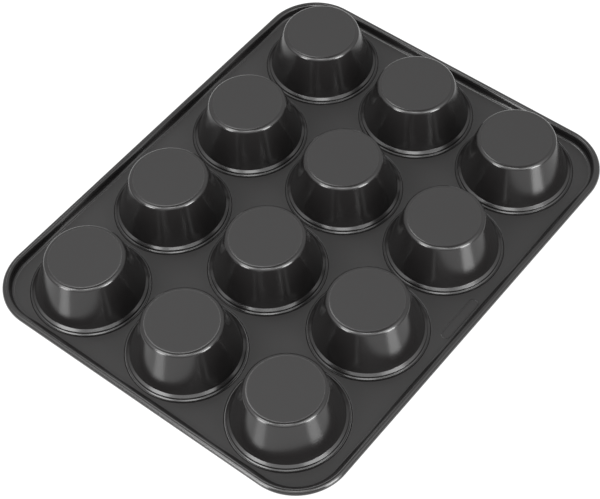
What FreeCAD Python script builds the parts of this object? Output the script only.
import FreeCAD, Part
import math
import os
import Sketcher

# Twelve-cup muffin tin, mouths down: one stamped sheet with a wired rim, and twelve drawn cups whose
# stepped brims are pressed over collars round its holes and lie in shallow seats.
# X runs along the four-cup side, Y along the three-cup side, Z up from the mouth plane to the cup floors.
# The mouth plane is the underside of the seats, on which the tin stands mouths down.

os.makedirs("parts", exist_ok=True)
doc = FreeCAD.newDocument("MuffinTin")

sizes = [
    ("cupColumns", 4),  # cups along X
    ("cupRows", 3),  # cups along Y
    ("pitchAlongX", 80.0),
    ("pitchAlongY", 80.4),
    ("sheetThickness", 0.5),
    ("beadHalfLength", 165.5),  # centre of the rim wire from the middle of the tin
    ("beadHalfWidth", 130.6),
    ("beadCornerRadius", 34.0),
    ("beadCentreHeight", 3.4),  # above the mouth side of the deck
    ("beadRadius", 2.5),  # outside of the curl
    ("rimFilletRadius", 2.5),  # deck into the rim wall
    ("curlSweep", 318.0),  # degrees of curl round the wire
    ("wireRadius", 1.9),
    ("markLength", 36.0),
    ("markWidth", 6.4),
    ("markLine", 0.8),
    ("markRise", 0.3),
    ("markCentreX", 0.0),
    ("markCentreY", -121.6),
    ("seatDrop", 0.4),  # seats below the deck
    ("seatOuterRadius", 39.3),  # where the deck starts to dip
    ("seatBendRadius", 0.3),  # inside of both bends
    ("seatSlope", 35.0),  # degrees below level
    ("cupHeight", 32.3),  # mouth plane to the outside of the cup floor
    ("floorFlatRadius", 23.35),
    ("floorCornerRadius", 3.0),
    ("wallDraft", 18.9),  # degrees from upright
    ("footRadius", 0.5),  # wall into the sloped step
    ("stepSlope", 35.0),  # degrees below level
    ("stepNoseRadius", 0.6),
    ("stepOuterRadius", 37.05),
    ("stepNoseHeight", 2.3),  # centre of the nose above the mouth plane
    ("lipBendRadius", 0.3),
    ("lipSlope", 30.0),  # degrees below level
    ("lipOuterRadius", 38.0),
    ("lipGap", 0.02),  # under the lip's rounded edge
    ("collarGap", 0.05),  # round the collar, inside the step
    ("collarBendRadius", 0.6),
    ("collarHeight", 2.1),  # above the mouth plane
]

sheet = doc.addObject("Spreadsheet::Sheet", "dims")
dim = {}
for row, (alias, value) in enumerate(sizes, 1):
    sheet.set("A%d" % row, alias)
    sheet.set("B%d" % row, str(value))
    sheet.setAlias("B%d" % row, alias)
    dim[alias] = value
doc.recompute()

fullTurn = 360.0
quarter = math.pi / 2


def vec(x, y):
    return FreeCAD.Vector(x, y, 0)


def originPlane(body, role):
    return [item for item in body.Origin.OriginFeatures if item.Role == role][0]


def addSketch(body, name, role):
    sketch = body.newObject("Sketcher::SketchObject", name)
    sketch.AttachmentSupport = [(originPlane(body, role), "")]
    sketch.MapMode = "FlatFace"
    return sketch


def raiseToDeck(sketch, axis):
    """Lift a sketch from the mouth plane to the mouth side of the deck; axis is the sketch's own up."""
    lift = FreeCAD.Vector(0, dim["seatDrop"], 0) if axis == "y" else FreeCAD.Vector(0, 0, dim["seatDrop"])
    sketch.AttachmentOffset = FreeCAD.Placement(lift, FreeCAD.Rotation())
    sketch.setExpression(".AttachmentOffset.Base." + axis, "dims.seatDrop")


def addLine(sketch, start, end):
    return sketch.addGeometry(Part.LineSegment(vec(*start), vec(*end)), False)


def addArc(sketch, centre, radius, angleFrom, angleTo):
    circle = Part.Circle(vec(*centre), FreeCAD.Vector(0, 0, 1), radius)
    return sketch.addGeometry(Part.ArcOfCircle(circle, angleFrom, angleTo), False)


def drive(sketch, constraint, name, expression):
    """Add a named constraint whose value comes from the sheet."""
    sketch.renameConstraint(sketch.addConstraint(constraint), name)
    sketch.setExpression("Constraints." + name, expression)


def roundedBox(sketch, name, halfLength, halfWidth, radius):
    """Closed outline that starts half way up the +X side; each size is a (value, expression) pair."""
    length, width, corner = halfLength[0], halfWidth[0], radius[0]
    straightX, straightY = length - corner, width - corner
    lines = [
        addLine(sketch, (length, 0), (length, straightY)),
        addLine(sketch, (straightX, width), (-straightX, width)),
        addLine(sketch, (-length, straightY), (-length, -straightY)),
        addLine(sketch, (-straightX, -width), (straightX, -width)),
        addLine(sketch, (length, -straightY), (length, 0)),
    ]
    centres = [
        (straightX, straightY), (-straightX, straightY), (-straightX, -straightY), (straightX, -straightY),
    ]
    arcs = []
    for index, centre in enumerate(centres):
        arcs.append(addArc(sketch, centre, corner, index * quarter, (index + 1) * quarter))
    for index, arc in enumerate(arcs):
        sketch.addConstraint(Sketcher.Constraint("Tangent", lines[index], 2, arc, 1))
        sketch.addConstraint(Sketcher.Constraint("Tangent", arc, 2, lines[index + 1], 1))
    sketch.addConstraint(Sketcher.Constraint("Coincident", lines[4], 2, lines[0], 1))
    sketch.addConstraint(Sketcher.Constraint("PointOnObject", lines[0], 1, -1))
    sketch.addConstraint(Sketcher.Constraint("Vertical", lines[0]))
    sketch.addConstraint(Sketcher.Constraint("Vertical", lines[4]))
    sketch.addConstraint(Sketcher.Constraint("Horizontal", lines[1]))
    sketch.addConstraint(Sketcher.Constraint("Vertical", lines[2]))
    sketch.addConstraint(Sketcher.Constraint("Horizontal", lines[3]))
    for arc in arcs[1:]:
        sketch.addConstraint(Sketcher.Constraint("Equal", arcs[0], arc))
    drive(sketch, Sketcher.Constraint("Radius", arcs[0], corner), name + "Corner", radius[1])
    drive(sketch, Sketcher.Constraint("DistanceX", -1, 1, lines[0], 1, length), name + "Right", halfLength[1])
    drive(sketch, Sketcher.Constraint("DistanceX", lines[2], 1, -1, 1, length), name + "Left", halfLength[1])
    drive(sketch, Sketcher.Constraint("DistanceY", -1, 1, lines[1], 1, width), name + "Back", halfWidth[1])
    drive(sketch, Sketcher.Constraint("DistanceY", lines[3], 1, -1, 1, width), name + "Front", halfWidth[1])
    return lines, arcs


def beadPath(body, name):
    sketch = addSketch(body, name, "XY_Plane")
    roundedBox(
        sketch, "bead",
        (dim["beadHalfLength"], "dims.beadHalfLength"),
        (dim["beadHalfWidth"], "dims.beadHalfWidth"),
        (dim["beadCornerRadius"], "dims.beadCornerRadius"),
    )
    return sketch


def sweep(body, name, profile, path):
    pipe = body.newObject("PartDesign::AdditivePipe", name)
    pipe.Profile = profile
    pipe.Spine = (path, [])
    return pipe


# ---- Deck and rim: one sheet, its edge turned up and curled outwards round the wire ----

sheetBody = doc.addObject("PartDesign::Body", "DeckAndRim")
sheetBody.Label = "deck_and_rim_sheet"
thickness = dim["sheetThickness"]
deckInset = dim["beadRadius"] + dim["rimFilletRadius"]  # bead centre back to the flat of the deck
insetText = "(dims.beadRadius + dims.rimFilletRadius)"

deckSketch = addSketch(sheetBody, "DeckOutline", "XY_Plane")
raiseToDeck(deckSketch, "z")
roundedBox(
    deckSketch, "deck",
    (dim["beadHalfLength"] - deckInset, "dims.beadHalfLength - " + insetText),
    (dim["beadHalfWidth"] - deckInset, "dims.beadHalfWidth - " + insetText),
    (dim["beadCornerRadius"] - deckInset, "dims.beadCornerRadius - " + insetText),
)
deckPad = sheetBody.newObject("PartDesign::Pad", "DeckPad")
deckPad.Profile = deckSketch
deckPad.setExpression("Length", "dims.sheetThickness")

rimSketch = addSketch(sheetBody, "RimSection", "XZ_Plane")
raiseToDeck(rimSketch, "y")
beadX, beadZ = dim["beadHalfLength"], dim["beadCentreHeight"]
curlOuter, curlInner = dim["beadRadius"], dim["beadRadius"] - thickness
filletInner, filletOuter = dim["rimFilletRadius"], dim["rimFilletRadius"] + thickness
filletX, filletZ = beadX - deckInset, thickness + filletInner
curlEnd = math.pi - math.radians(dim["curlSweep"])


def onCircle(centre, radius, angle):
    return centre[0] + radius * math.cos(angle), centre[1] + radius * math.sin(angle)


beadCentre = (beadX, beadZ)
rootEdge = addLine(rimSketch, (filletX, thickness), (filletX, 0))
filletUnder = addArc(rimSketch, (filletX, filletZ), filletOuter, -quarter, 0)
wallUnder = addLine(rimSketch, (filletX + filletOuter, filletZ), (beadX - curlInner, beadZ))
curlUnder = addArc(rimSketch, beadCentre, curlInner, curlEnd, math.pi)
curlTip = addLine(
    rimSketch, onCircle(beadCentre, curlInner, curlEnd), onCircle(beadCentre, curlOuter, curlEnd)
)
curlOver = addArc(rimSketch, beadCentre, curlOuter, curlEnd, math.pi)
wallOver = addLine(rimSketch, (beadX - curlOuter, beadZ), (filletX + filletInner, filletZ))
filletOver = addArc(rimSketch, (filletX, filletZ), filletInner, -quarter, 0)

for first, firstEnd, second, secondEnd in [
    (filletUnder, 2, wallUnder, 1), (wallUnder, 2, curlUnder, 2),
    (curlOver, 2, wallOver, 1), (wallOver, 2, filletOver, 2),
]:
    rimSketch.addConstraint(Sketcher.Constraint("Tangent", first, firstEnd, second, secondEnd))
for first, firstEnd, second, secondEnd in [
    (rootEdge, 2, filletUnder, 1), (curlUnder, 1, curlTip, 1), (curlTip, 2, curlOver, 1),
    (filletOver, 1, rootEdge, 1), (filletUnder, 3, filletOver, 3), (curlUnder, 3, curlOver, 3),
]:
    rimSketch.addConstraint(Sketcher.Constraint("Coincident", first, firstEnd, second, secondEnd))
rimSketch.addConstraint(Sketcher.Constraint("Vertical", rootEdge))
rimSketch.addConstraint(Sketcher.Constraint("Vertical", wallOver))
rimSketch.addConstraint(Sketcher.Constraint("PointOnObject", rootEdge, 2, -1))
rimSketch.addConstraint(Sketcher.Constraint("PointOnObject", filletOver, 3, rootEdge))
drive(rimSketch, Sketcher.Constraint("Radius", curlOver, curlOuter), "curlOutside", "dims.beadRadius")
drive(rimSketch, Sketcher.Constraint("Radius", filletOver, filletInner), "filletInside",
      "dims.rimFilletRadius")
drive(rimSketch, Sketcher.Constraint("DistanceY", rootEdge, 2, rootEdge, 1, thickness), "rootThickness",
      "dims.sheetThickness")
drive(rimSketch, Sketcher.Constraint("DistanceX", -1, 1, curlOver, 3, beadX), "beadOut",
      "dims.beadHalfLength")
drive(rimSketch, Sketcher.Constraint("DistanceY", -1, 1, curlOver, 3, beadZ), "beadUp",
      "dims.beadCentreHeight")
drive(rimSketch, Sketcher.Constraint("Radius", curlUnder, curlInner), "curlInside",
      "dims.beadRadius - dims.sheetThickness")
rimSketch.addConstraint(Sketcher.Constraint("PointOnObject", curlOver, 3, curlTip))
drive(rimSketch, Sketcher.Constraint("Angle", curlTip, 1, -1, 1, -curlEnd), "curlStop",
      "dims.curlSweep - 180")

rimPath = beadPath(sheetBody, "RimPath")
rimPipe = sweep(sheetBody, "RimPipe", rimSketch, rimPath)

firstX = -dim["pitchAlongX"] * (dim["cupColumns"] - 1) / 2
firstY = -dim["pitchAlongY"] * (dim["cupRows"] - 1) / 2
collarOuter = dim["stepOuterRadius"] - thickness - dim["collarGap"]
collarInner = collarOuter - thickness
bendInner, bendOuter = dim["collarBendRadius"], dim["collarBendRadius"] + thickness
bendX, bendZ = collarOuter + bendInner, thickness + bendInner
collarText = "(dims.stepOuterRadius - dims.sheetThickness - dims.collarGap)"
seatX, drop, seatSlope = dim["seatOuterRadius"], dim["seatDrop"], math.radians(dim["seatSlope"])
dipInner, dipOuter = dim["seatBendRadius"], dim["seatBendRadius"] + thickness

holeSketch = addSketch(sheetBody, "CupHole", "XY_Plane")
holeCircle = Part.Circle(vec(firstX, firstY), FreeCAD.Vector(0, 0, 1), seatX)
hole = holeSketch.addGeometry(holeCircle, False)
drive(holeSketch, Sketcher.Constraint("Radius", hole, seatX), "holeSize", "dims.seatOuterRadius")
drive(holeSketch, Sketcher.Constraint("DistanceX", hole, 3, -1, 1, -firstX), "holeLeft",
      "dims.pitchAlongX * (dims.cupColumns - 1) / 2")
drive(holeSketch, Sketcher.Constraint("DistanceY", hole, 3, -1, 1, -firstY), "holeFront",
      "dims.pitchAlongY * (dims.cupRows - 1) / 2")
holePocket = sheetBody.newObject("PartDesign::Pocket", "HolePocket")
holePocket.Profile = holeSketch
holePocket.Type = "ThroughAll"
holePocket.Midplane = True

# The sheet dips round each hole to make a seat, and the hole's edge turns up from it as a collar.
# The slope between the seat's two bends touches both.
shoulder = (seatX, drop - dipInner)
dipZ = thickness + dipInner
slopeLength = (shoulder[1] + (dipInner + dipOuter) * math.cos(seatSlope) - dipZ) / math.sin(seatSlope)
dipX = seatX - (dipInner + dipOuter) * math.sin(seatSlope) - slopeLength * math.cos(seatSlope)
dip = (dipX, dipZ)

collarSketch = addSketch(sheetBody, "CollarSection", "XZ_Plane")
collarSketch.AttachmentOffset = FreeCAD.Placement(FreeCAD.Vector(firstX, 0, -firstY), FreeCAD.Rotation())
collarSketch.setExpression(".AttachmentOffset.Base.x", "-dims.pitchAlongX * (dims.cupColumns - 1) / 2")
collarSketch.setExpression(".AttachmentOffset.Base.z", "dims.pitchAlongY * (dims.cupRows - 1) / 2")
seatRoot = addLine(collarSketch, (seatX, drop), (seatX, drop + thickness))
shoulderOver = addArc(collarSketch, shoulder, dipOuter, quarter, quarter + seatSlope)
slopeOver = addLine(
    collarSketch, onCircle(shoulder, dipOuter, quarter + seatSlope),
    onCircle(dip, dipInner, seatSlope - quarter),
)
dipOver = addArc(collarSketch, dip, dipInner, -quarter, seatSlope - quarter)
seatOver = addLine(collarSketch, (dipX, thickness), (bendX, thickness))
collarOver = addArc(collarSketch, (bendX, bendZ), bendInner, math.pi, 3 * quarter)
collarOutside = addLine(collarSketch, (collarOuter, bendZ), (collarOuter, dim["collarHeight"]))
collarTop = addLine(collarSketch, (collarOuter, dim["collarHeight"]), (collarInner, dim["collarHeight"]))
collarInside = addLine(collarSketch, (collarInner, dim["collarHeight"]), (collarInner, bendZ))
collarUnder = addArc(collarSketch, (bendX, bendZ), bendOuter, math.pi, 3 * quarter)
seatUnder = addLine(collarSketch, (bendX, 0), (dipX, 0))
dipUnder = addArc(collarSketch, dip, dipOuter, -quarter, seatSlope - quarter)
slopeUnder = addLine(
    collarSketch, onCircle(dip, dipOuter, seatSlope - quarter),
    onCircle(shoulder, dipInner, quarter + seatSlope),
)
shoulderUnder = addArc(collarSketch, shoulder, dipInner, quarter, quarter + seatSlope)
for first, firstEnd, second, secondEnd in [
    (shoulderOver, 2, slopeOver, 1), (slopeOver, 2, dipOver, 2), (dipOver, 1, seatOver, 1),
    (seatOver, 2, collarOver, 2), (collarOver, 1, collarOutside, 1), (collarInside, 2, collarUnder, 1),
    (collarUnder, 2, seatUnder, 1), (seatUnder, 2, dipUnder, 1), (dipUnder, 2, slopeUnder, 1),
    (slopeUnder, 2, shoulderUnder, 2),
]:
    collarSketch.addConstraint(Sketcher.Constraint("Tangent", first, firstEnd, second, secondEnd))
for first, firstEnd, second, secondEnd in [
    (seatRoot, 2, shoulderOver, 1), (collarOutside, 2, collarTop, 1), (collarTop, 2, collarInside, 1),
    (shoulderUnder, 1, seatRoot, 1), (collarOver, 3, collarUnder, 3), (shoulderOver, 3, shoulderUnder, 3),
    (dipOver, 3, dipUnder, 3),
]:
    collarSketch.addConstraint(Sketcher.Constraint("Coincident", first, firstEnd, second, secondEnd))
for edge in [seatRoot, collarOutside, collarInside]:
    collarSketch.addConstraint(Sketcher.Constraint("Vertical", edge))
for edge in [collarTop, seatOver]:
    collarSketch.addConstraint(Sketcher.Constraint("Horizontal", edge))
collarSketch.addConstraint(Sketcher.Constraint("PointOnObject", seatUnder, 1, -1))
collarSketch.addConstraint(Sketcher.Constraint("PointOnObject", seatUnder, 2, -1))
collarSketch.addConstraint(Sketcher.Constraint("PointOnObject", shoulderOver, 3, seatRoot))
drive(collarSketch, Sketcher.Constraint("Radius", collarOver, bendInner), "bendInside",
      "dims.collarBendRadius")
drive(collarSketch, Sketcher.Constraint("Radius", dipOver, dipInner), "dipInside", "dims.seatBendRadius")
drive(collarSketch, Sketcher.Constraint("Radius", shoulderUnder, dipInner), "shoulderInside",
      "dims.seatBendRadius")
drive(collarSketch, Sketcher.Constraint("DistanceY", seatUnder, 1, seatOver, 2, thickness), "sheetAtSeat",
      "dims.sheetThickness")
drive(collarSketch, Sketcher.Constraint("DistanceY", seatRoot, 1, seatRoot, 2, thickness), "sheetAtRoot",
      "dims.sheetThickness")
drive(collarSketch, Sketcher.Constraint("DistanceX", -1, 1, seatRoot, 1, seatX), "seatOut",
      "dims.seatOuterRadius")
drive(collarSketch, Sketcher.Constraint("DistanceY", -1, 1, seatRoot, 1, drop), "seatDown", "dims.seatDrop")
drive(collarSketch, Sketcher.Constraint("Angle", -1, 1, slopeOver, 2, seatSlope), "seatAngle",
      "dims.seatSlope")
drive(collarSketch, Sketcher.Constraint("DistanceX", -1, 1, collarTop, 1, collarOuter), "collarOut",
      collarText)
drive(collarSketch, Sketcher.Constraint("DistanceY", -1, 1, collarTop, 1, dim["collarHeight"]),
      "collarUp", "dims.collarHeight")
collarTurn = sheetBody.newObject("PartDesign::Revolution", "Collar")
collarTurn.Profile = collarSketch
collarTurn.ReferenceAxis = (collarSketch, ["V_Axis"])
collarTurn.Angle = fullTurn

pattern = sheetBody.newObject("PartDesign::MultiTransform", "CupPattern")
pattern.Originals = [holePocket, collarTurn]
steps = []
for name, axis, pitch, count in [
    ("CupsAlongX", "H_Axis", "pitchAlongX", "cupColumns"),
    ("CupsAlongY", "V_Axis", "pitchAlongY", "cupRows"),
]:
    step = sheetBody.newObject("PartDesign::LinearPattern", name)
    step.Direction = (holeSketch, [axis])
    step.setExpression("Length", "dims.%s * (dims.%s - 1)" % (pitch, count))
    step.setExpression("Occurrences", "dims." + count)
    steps.append(step)
pattern.Transformations = steps
sheetBody.Tip = pattern

# A blank raised frame stands where a maker would put a name.


def markFrame():
    """Two nested stadiums, one line wide."""
    sketch = addSketch(sheetBody, "MarkFrame", "XY_Plane")
    raiseToDeck(sketch, "z")
    halfStraight = (dim["markLength"] - dim["markWidth"]) / 2
    for label, radius, text in [
        ("outer", dim["markWidth"] / 2, "dims.markWidth / 2"),
        ("inner", dim["markWidth"] / 2 - dim["markLine"], "dims.markWidth / 2 - dims.markLine"),
    ]:
        left = (dim["markCentreX"] - halfStraight, dim["markCentreY"])
        right = (dim["markCentreX"] + halfStraight, dim["markCentreY"])
        top = addLine(sketch, (right[0], right[1] + radius), (left[0], left[1] + radius))
        bottom = addLine(sketch, (left[0], left[1] - radius), (right[0], right[1] - radius))
        leftArc = addArc(sketch, left, radius, quarter, 3 * quarter)
        rightArc = addArc(sketch, right, radius, -quarter, quarter)
        for first, firstEnd, second, secondEnd in [
            (rightArc, 2, top, 1), (top, 2, leftArc, 1), (leftArc, 2, bottom, 1), (bottom, 2, rightArc, 1),
        ]:
            sketch.addConstraint(Sketcher.Constraint("Tangent", first, firstEnd, second, secondEnd))
        sketch.addConstraint(Sketcher.Constraint("Horizontal", top))
        sketch.addConstraint(Sketcher.Constraint("Horizontal", bottom))
        drive(sketch, Sketcher.Constraint("Radius", rightArc, radius), label + "Radius", text)
        drive(sketch, Sketcher.Constraint("DistanceX", leftArc, 3, rightArc, 3, 2 * halfStraight),
              label + "Straight", "dims.markLength - dims.markWidth")
        drive(sketch, Sketcher.Constraint("DistanceX", -1, 1, rightArc, 3, right[0]), label + "Along",
              "dims.markCentreX + (dims.markLength - dims.markWidth) / 2")
        drive(sketch, Sketcher.Constraint("DistanceY", rightArc, 3, -1, 1, -right[1]), label + "Across",
              "-dims.markCentreY")
    return sketch


markSketch = markFrame()
markPad = sheetBody.newObject("PartDesign::Pad", "MarkPad")
markPad.Profile = markSketch
markPad.setExpression("Length", "dims.sheetThickness + dims.markRise")
markPocket = sheetBody.newObject("PartDesign::Pocket", "MarkPocket")  # the hollow behind the raised line
markPocket.Profile = markSketch
markPocket.Reversed = True
markPocket.setExpression("Length", "dims.markRise")
sheetBody.Tip = markPocket

# ---- Rim wire: one closed ring inside the curl ----

wireBody = doc.addObject("PartDesign::Body", "RimWire")
wireBody.Label = "rim_wire"
wireSketch = addSketch(wireBody, "WireSection", "XZ_Plane")
wireRound = Part.Circle(vec(beadX, 0), FreeCAD.Vector(0, 0, 1), dim["wireRadius"])
wireCircle = wireSketch.addGeometry(wireRound, False)
wireSketch.addConstraint(Sketcher.Constraint("PointOnObject", wireCircle, 3, -1))
drive(wireSketch, Sketcher.Constraint("Radius", wireCircle, dim["wireRadius"]), "wireSize", "dims.wireRadius")
drive(wireSketch, Sketcher.Constraint("DistanceX", -1, 1, wireCircle, 3, beadX), "wireOut",
      "dims.beadHalfLength")
wirePath = beadPath(wireBody, "WirePath")
sweep(wireBody, "WirePipe", wireSketch, wirePath)
wireBody.setExpression("Placement.Base.z", "dims.seatDrop + dims.beadCentreHeight")

# ---- Cups: drawn from sheet, each brim stepped over a collar and ending in a lip in its seat ----

draft = math.radians(dim["wallDraft"])
stepSlope = math.radians(dim["stepSlope"])
lipSlope = math.radians(dim["lipSlope"])
tipRadius = thickness / 2
floorCorner = (dim["floorFlatRadius"], dim["cupHeight"] - dim["floorCornerRadius"])
stepNose = (dim["stepOuterRadius"] - dim["stepNoseRadius"], dim["stepNoseHeight"])
lipTip = (dim["lipOuterRadius"] - tipRadius, thickness + dim["lipGap"] + tipRadius)

# The foot arc touches the wall and the step; its centre lies one radius outside both lines.
wallPoint = onCircle(floorCorner, dim["floorCornerRadius"] + dim["footRadius"], draft)
wallWay = (math.sin(draft), -math.cos(draft))
stepPoint = onCircle(stepNose, dim["stepNoseRadius"] + dim["footRadius"], quarter - stepSlope)
stepWay = (math.cos(stepSlope), -math.sin(stepSlope))
cross = wallWay[0] * stepWay[1] - wallWay[1] * stepWay[0]
gapX, gapZ = stepPoint[0] - wallPoint[0], stepPoint[1] - wallPoint[1]
along = (gapX * stepWay[1] - gapZ * stepWay[0]) / cross
foot = (wallPoint[0] + along * wallWay[0], wallPoint[1] + along * wallWay[1])

# The lip bend touches the upright side of the step and the lip.
lipPoint = onCircle(lipTip, tipRadius + dim["lipBendRadius"], quarter - lipSlope)
lipBendX = dim["stepOuterRadius"] + dim["lipBendRadius"]
lipBend = (lipBendX, lipPoint[1] + (lipPoint[0] - lipBendX) * math.tan(lipSlope))


def cupSkin(sketch, offset):
    """One side of the cup sheet; offset is the distance from the outside skin into the metal."""
    cornerR = dim["floorCornerRadius"] - offset
    footR = dim["footRadius"] + offset
    noseR = dim["stepNoseRadius"] - offset
    bendR = dim["lipBendRadius"] + offset
    tipR = tipRadius - offset  # negative on the inner skin, which meets the tip from below
    floorZ = dim["cupHeight"] - offset
    lipAngle = quarter - lipSlope
    arcs = [
        addArc(sketch, floorCorner, cornerR, draft, quarter),
        addArc(sketch, foot, footR, math.pi + draft, 3 * quarter - stepSlope),
        addArc(sketch, stepNose, noseR, 0, quarter - stepSlope),
        addArc(sketch, lipBend, bendR, math.pi, math.pi + lipAngle),
    ]
    lines = [
        addLine(sketch, (0, floorZ), (floorCorner[0], floorZ)),
        addLine(sketch, onCircle(floorCorner, cornerR, draft), onCircle(foot, footR, math.pi + draft)),
        addLine(sketch, onCircle(foot, footR, 3 * quarter - stepSlope),
                onCircle(stepNose, noseR, quarter - stepSlope)),
        addLine(sketch, (stepNose[0] + noseR, stepNose[1]), (lipBend[0] - bendR, lipBend[1])),
        addLine(sketch, onCircle(lipBend, bendR, math.pi + lipAngle), onCircle(lipTip, tipR, lipAngle)),
    ]
    for first, firstEnd, second, secondEnd in [
        (lines[0], 2, arcs[0], 2), (arcs[0], 1, lines[1], 1),
        (lines[1], 2, arcs[1], 1), (arcs[1], 2, lines[2], 1),
        (lines[2], 2, arcs[2], 2), (arcs[2], 1, lines[3], 1),
        (lines[3], 2, arcs[3], 1), (arcs[3], 2, lines[4], 1),
    ]:
        sketch.addConstraint(Sketcher.Constraint("Tangent", first, firstEnd, second, secondEnd))
    return lines, arcs


def buildCup(label, xText, yText):
    body = doc.addObject("PartDesign::Body", label)
    body.Label = label
    sketch = addSketch(body, label + "_section", "XZ_Plane")
    outLines, outArcs = cupSkin(sketch, 0)
    inLines, inArcs = cupSkin(sketch, thickness)
    axisEdge = addLine(sketch, (0, dim["cupHeight"]), (0, dim["cupHeight"] - thickness))
    tipArc = addArc(sketch, lipTip, tipRadius, -quarter - lipSlope, quarter - lipSlope)
    for first, firstEnd, second, secondEnd in [
        (axisEdge, 1, outLines[0], 1), (axisEdge, 2, inLines[0], 1),
    ] + [(outer, 3, inner, 3) for outer, inner in zip(outArcs, inArcs)]:
        sketch.addConstraint(Sketcher.Constraint("Coincident", first, firstEnd, second, secondEnd))
    sketch.addConstraint(Sketcher.Constraint("Tangent", outLines[4], 2, tipArc, 2))
    sketch.addConstraint(Sketcher.Constraint("Tangent", inLines[4], 2, tipArc, 1))
    sketch.addConstraint(Sketcher.Constraint("PointOnObject", axisEdge, 1, -2))
    sketch.addConstraint(Sketcher.Constraint("Vertical", axisEdge))
    sketch.addConstraint(Sketcher.Constraint("Horizontal", outLines[0]))
    sketch.addConstraint(Sketcher.Constraint("Vertical", outLines[3]))
    sketch.addConstraint(Sketcher.Constraint("Vertical", inLines[3]))
    drive(sketch, Sketcher.Constraint("DistanceY", axisEdge, 2, axisEdge, 1, thickness), "floorThickness",
          "dims.sheetThickness")
    drive(sketch, Sketcher.Constraint("DistanceY", -1, 1, axisEdge, 1, dim["cupHeight"]), "height",
          "dims.cupHeight")
    drive(sketch, Sketcher.Constraint("DistanceX", -1, 1, outArcs[0], 3, floorCorner[0]), "floorFlat",
          "dims.floorFlatRadius")
    drive(sketch, Sketcher.Constraint("DistanceX", -1, 1, outArcs[2], 3, stepNose[0]), "noseOut",
          "dims.stepOuterRadius - dims.stepNoseRadius")
    drive(sketch, Sketcher.Constraint("DistanceY", -1, 1, outArcs[2], 3, stepNose[1]), "noseUp",
          "dims.stepNoseHeight")
    drive(sketch, Sketcher.Constraint("DistanceX", -1, 1, tipArc, 3, lipTip[0]), "tipOut",
          "dims.lipOuterRadius - dims.sheetThickness / 2")
    drive(sketch, Sketcher.Constraint("DistanceY", -1, 1, tipArc, 3, lipTip[1]), "tipUp",
          "dims.lipGap + 1.5 * dims.sheetThickness")
    for arc, name, text in [
        (outArcs[0], "floorCorner", "dims.floorCornerRadius"),
        (outArcs[1], "foot", "dims.footRadius"),
        (outArcs[2], "nose", "dims.stepNoseRadius"),
        (outArcs[3], "bend", "dims.lipBendRadius"),
        (inArcs[0], "floorCornerInside", "dims.floorCornerRadius - dims.sheetThickness"),
        (inArcs[1], "footInside", "dims.footRadius + dims.sheetThickness"),
        (inArcs[2], "noseInside", "dims.stepNoseRadius - dims.sheetThickness"),
        (tipArc, "tip", "dims.sheetThickness / 2"),
    ]:
        drive(sketch, Sketcher.Constraint("Radius", arc, sketch.Geometry[arc].Radius), name, text)
    for ends, name, text, angle in [
        ((-2, 1, outLines[1], 2), "draft", "dims.wallDraft", draft),
        ((outLines[2], 1, -1, 1), "step", "dims.stepSlope", stepSlope),
        ((outLines[4], 1, -1, 1), "lip", "dims.lipSlope", lipSlope),
    ]:
        drive(sketch, Sketcher.Constraint("Angle", *ends, angle), name, text)
    turned = body.newObject("PartDesign::Revolution", label + "_shell")
    turned.Profile = sketch
    turned.ReferenceAxis = (sketch, ["V_Axis"])
    turned.Angle = fullTurn
    body.setExpression("Placement.Base.x", xText)
    body.setExpression("Placement.Base.y", yText)
    return body


cups = []
for rowIndex in range(dim["cupRows"]):
    for columnIndex in range(dim["cupColumns"]):
        cups.append(buildCup(
            "cup_row%d_column%d" % (rowIndex + 1, columnIndex + 1),
            "dims.pitchAlongX * (%d - (dims.cupColumns - 1) / 2)" % columnIndex,
            "dims.pitchAlongY * (%d - (dims.cupRows - 1) / 2)" % rowIndex,
        ))

doc.recompute()
for item in doc.Objects:
    if "Invalid" in item.State or "Error" in item.State:
        raise RuntimeError("%s did not compute: %s" % (item.Name, item.State))
for body in [sheetBody, wireBody] + cups:
    shape = body.Shape
    if shape.isNull() or not shape.isValid() or len(shape.Solids) != 1:
        raise RuntimeError("%s is not one valid solid" % body.Label)
    shape.exportStep("parts/%s.step" % body.Label)
